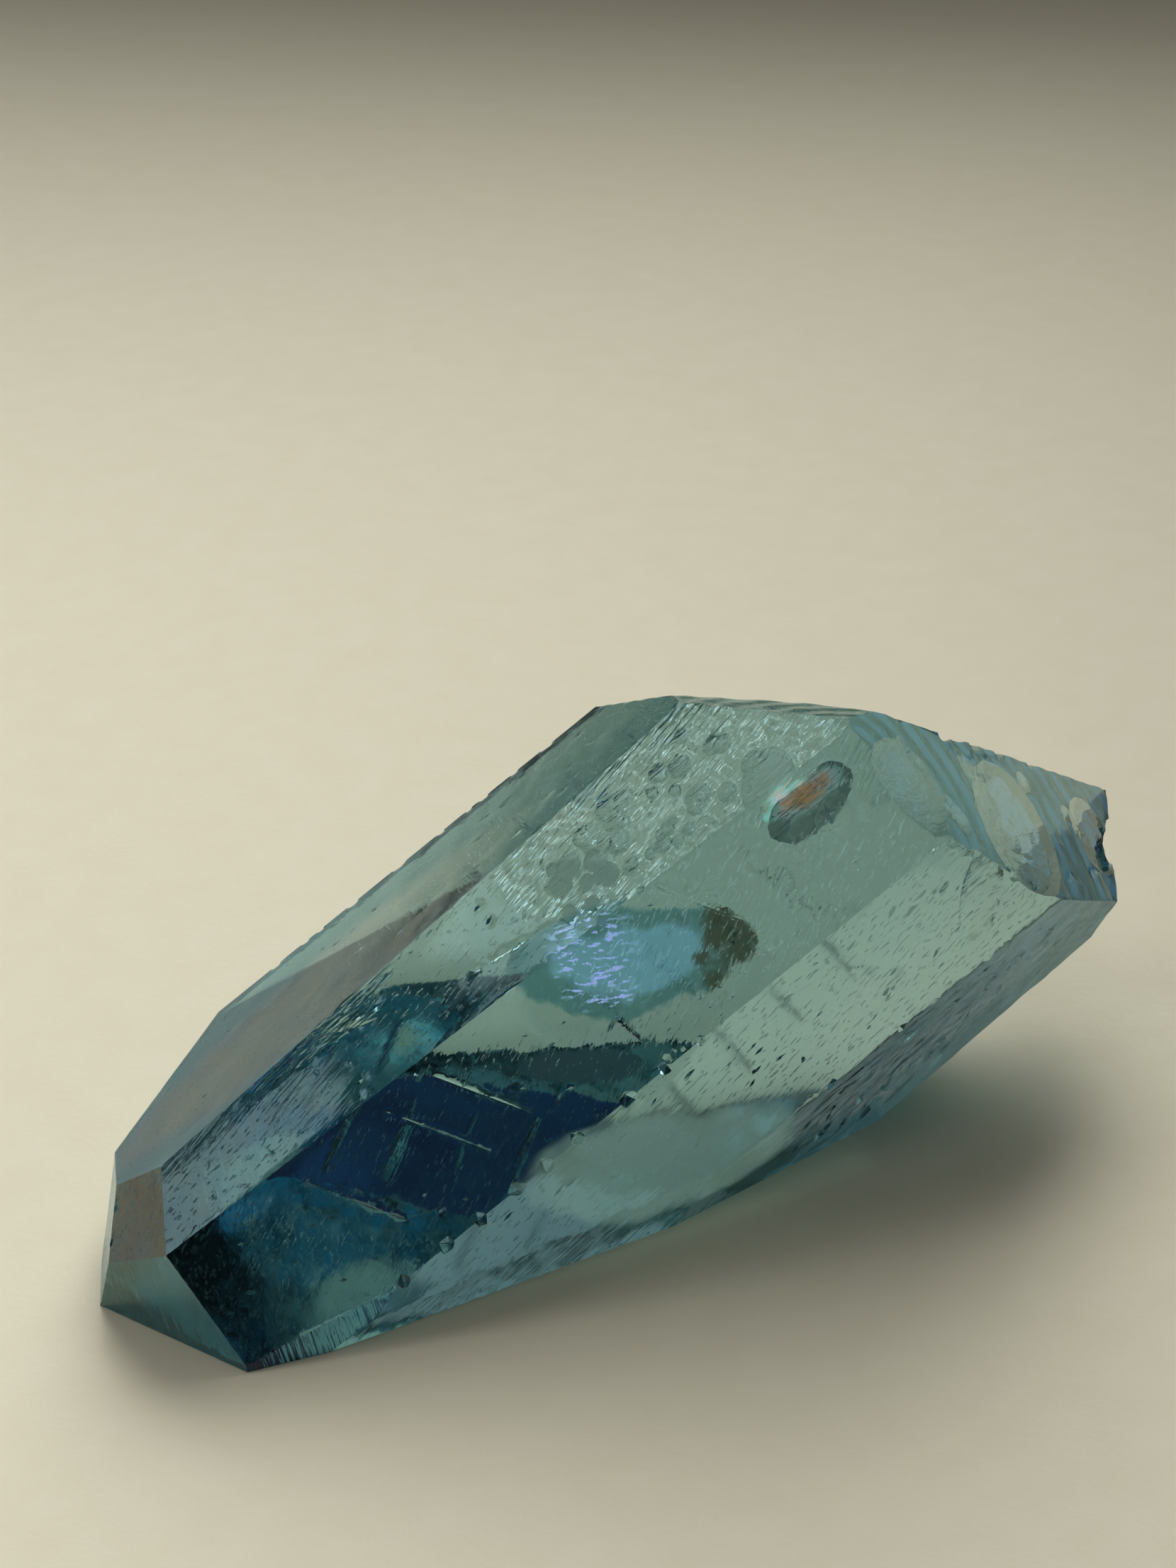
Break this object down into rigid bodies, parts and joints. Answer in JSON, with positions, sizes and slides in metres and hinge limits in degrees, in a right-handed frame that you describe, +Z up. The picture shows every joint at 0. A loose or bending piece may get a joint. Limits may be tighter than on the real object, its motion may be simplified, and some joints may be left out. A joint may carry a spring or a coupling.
{
  "type": "aqua aura quartz crystal",
  "caption": "Long faceted quartz crystal lying on a flat oblique face, with a grown tip at one end and a chipped, broken slope at the other.",
  "frame": {"origin": "centre of the bounding box on the surface that the crystal lies on", "axes": "+Z up; +X along the crystal's length as seen from above, from the grown tip to the broken end; +Y to the back"},
  "size_m": [0.0514, 0.0208, 0.0188],
  "materials": {
    "quartz_crystal": "glossy, with a thin iridescent metal coating"
  },
  "bodies": {
    "root": {"quartz_crystal": "quartz_crystal"}
  },
  "joints": []
}
